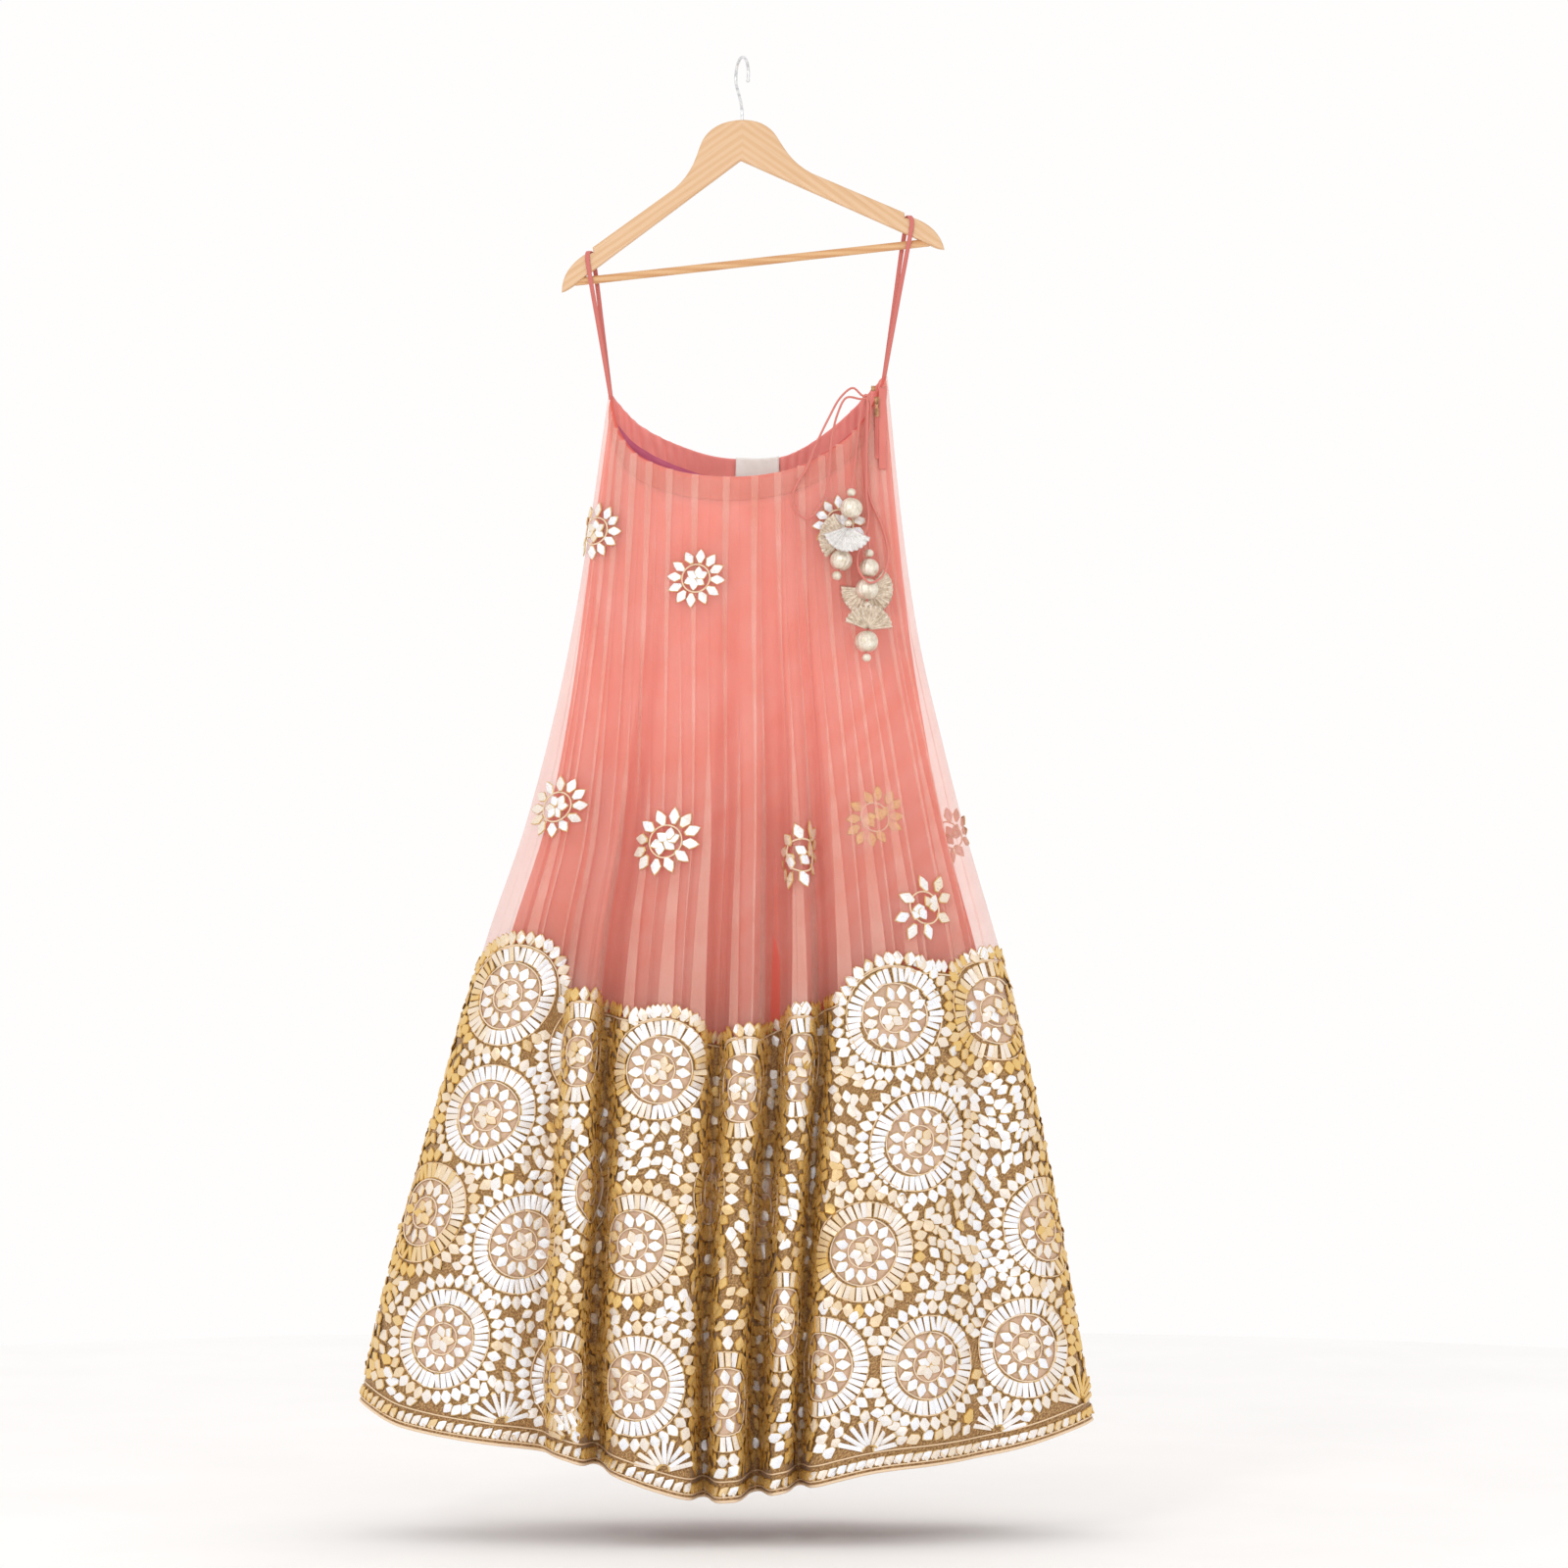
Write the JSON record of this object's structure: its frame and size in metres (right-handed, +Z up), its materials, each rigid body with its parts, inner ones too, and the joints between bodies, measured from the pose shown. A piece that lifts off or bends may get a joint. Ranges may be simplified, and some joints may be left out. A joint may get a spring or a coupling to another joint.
{
  "type": "lehenga skirt on a hanger",
  "caption": "Long flared skirt with a net overlay, embroidered border, drawstring and tassels, hung by two ribbon loops from a wooden trouser hanger.",
  "frame": {"origin": "inner top of the hook, where a rail carries it", "axes": "+Z up, +X to the right as the front is seen, -Y out of the skirt's front"},
  "size_m": [0.8221, 0.2783, 1.6084],
  "materials": {
    "wood": "pale varnished wood",
    "steel": "bright plated wire",
    "slip": "matte coral crepe",
    "net": "fine see-through blush net",
    "casing": "puckered coral crepe",
    "lining": "magenta lining",
    "label": "plain woven satin",
    "border": "net packed with metallic ribbon petals",
    "petals": "folded metallic ribbon",
    "cord": "rouleau of coral crepe",
    "brass": "painted antique brass",
    "tassel": "beads wrapped in silver and gold silk"
  },
  "bodies": {
    "skirt": {"bead_left_1": "tassel", "bead_left_2": "tassel", "bead_left_3": "tassel", "bead_left_4": "tassel", "bead_left_5": "tassel", "bead_left_6": "tassel", "bead_right_1": "tassel", "bead_right_2": "tassel", "bead_right_3": "tassel", "bead_right_4": "tassel", "bead_right_5": "tassel", "bead_right_6": "tassel", "bead_right_7": "tassel", "border_back": "border", "border_front": "border", "bow_left": "cord", "bow_right": "cord", "casing_back": "casing", "casing_front": "casing", "end_left": "cord", "end_right": "cord", "fan_left_1": "tassel", "fan_left_2": "tassel", "fan_right_1": "tassel", "fan_right_2": "tassel", "flower_back_1": "petals", "flower_back_2": "petals", "flower_back_3": "petals", "flower_back_4": "petals", "flower_back_5": "petals", "flower_back_6": "petals", "flower_front_1": "petals", "flower_front_2": "petals", "flower_front_3": "petals", "flower_front_4": "petals", "flower_front_5": "petals", "flower_front_6": "petals", "flower_front_7": "petals", "flower_front_8": "petals", "hanger_arms": "wood", "hanger_bar": "wood", "hem_back": "petals", "hem_front": "petals", "hook": "steel", "knot": "cord", "label": "label", "lining_back": "lining", "loop_left": "cord", "loop_right": "cord", "net_back": "net", "net_front": "net", "placket": "casing", "slip_back": "slip", "slip_front": "slip", "waist_hook": "brass", "zip_slider": "brass", "zip_tape": "brass"},
    "pull_tab": {"pull_tab": "brass"}
  },
  "joints": [
    {"name": "pull_tab_swing", "type": "hinge", "parent": "skirt", "child": "pull_tab", "pos_m": [0.151, -0.01775, -0.385], "axis": [-1, 0, 0], "range_deg": [0, 160]}
  ]
}
